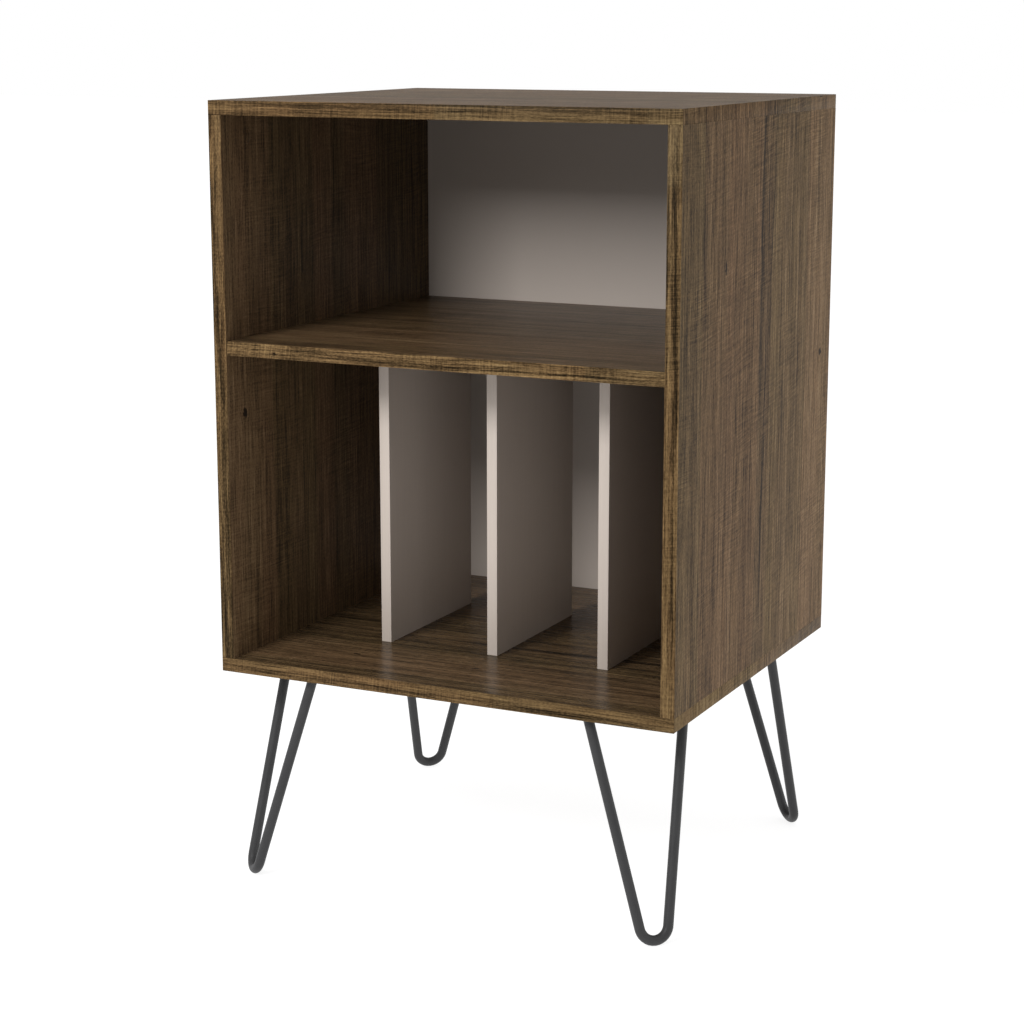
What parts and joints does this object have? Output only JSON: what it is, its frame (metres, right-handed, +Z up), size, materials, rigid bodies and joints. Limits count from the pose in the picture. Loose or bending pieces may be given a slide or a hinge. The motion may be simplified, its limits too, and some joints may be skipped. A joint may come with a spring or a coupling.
{
  "type": "record storage stand",
  "caption": "Open-fronted walnut-finish cabinet on splayed hairpin legs, with an upper compartment and a lower one divided for records.",
  "frame": {"origin": "on the floor, under the middle of the stand's bounding box", "axes": "+Z up, -Y out of the open front, +X to the right as seen from the front"},
  "size_m": [0.526, 0.4608, 0.8425],
  "materials": {
    "walnut_laminate": "satin printed walnut laminate on chipboard",
    "walnut_band": "satin printed walnut edge band",
    "taupe_paint": "smooth satin taupe paint",
    "grey_back": "thin hardboard, warm grey paint inside",
    "charcoal_steel": "matt charcoal powder coat",
    "zinc_steel": "zinc-plated steel",
    "cover_film": "walnut cover disc",
    "beech": "bare beech"
  },
  "bodies": {
    "root": {"top_panel": "walnut_laminate", "bottom_panel": "walnut_laminate", "left_side_panel": "walnut_laminate", "right_side_panel": "walnut_laminate", "shelf_panel": "walnut_laminate", "back_panel": "grey_back", "divider_left": "taupe_paint", "divider_center": "taupe_paint", "divider_right": "taupe_paint", "top_front_band": "walnut_band", "top_left_band": "walnut_band", "top_right_band": "walnut_band", "bottom_front_band": "walnut_band", "bottom_left_band": "walnut_band", "bottom_right_band": "walnut_band", "left_side_band": "walnut_band", "right_side_band": "walnut_band", "shelf_front_band": "walnut_band", "divider_left_band": "taupe_paint", "divider_center_band": "taupe_paint", "divider_right_band": "taupe_paint", "leg_rod_front_left": "charcoal_steel", "leg_rod_front_right": "charcoal_steel", "leg_rod_rear_left": "charcoal_steel", "leg_rod_rear_right": "charcoal_steel", "leg_plate_front_left": "charcoal_steel", "leg_plate_front_right": "charcoal_steel", "leg_plate_rear_left": "charcoal_steel", "leg_plate_rear_right": "charcoal_steel", "leg_screws": "zinc_steel", "top_cam_bolts": "zinc_steel", "top_cam_locks": "zinc_steel", "top_cam_covers": "cover_film", "top_dowels": "beech", "shelf_cam_bolts": "zinc_steel", "shelf_cam_locks": "zinc_steel", "shelf_dowels": "beech", "bottom_screws": "zinc_steel", "bottom_dowels": "beech", "divider_screws": "zinc_steel", "divider_dowels": "beech", "back_nails": "zinc_steel"}
  },
  "joints": []
}
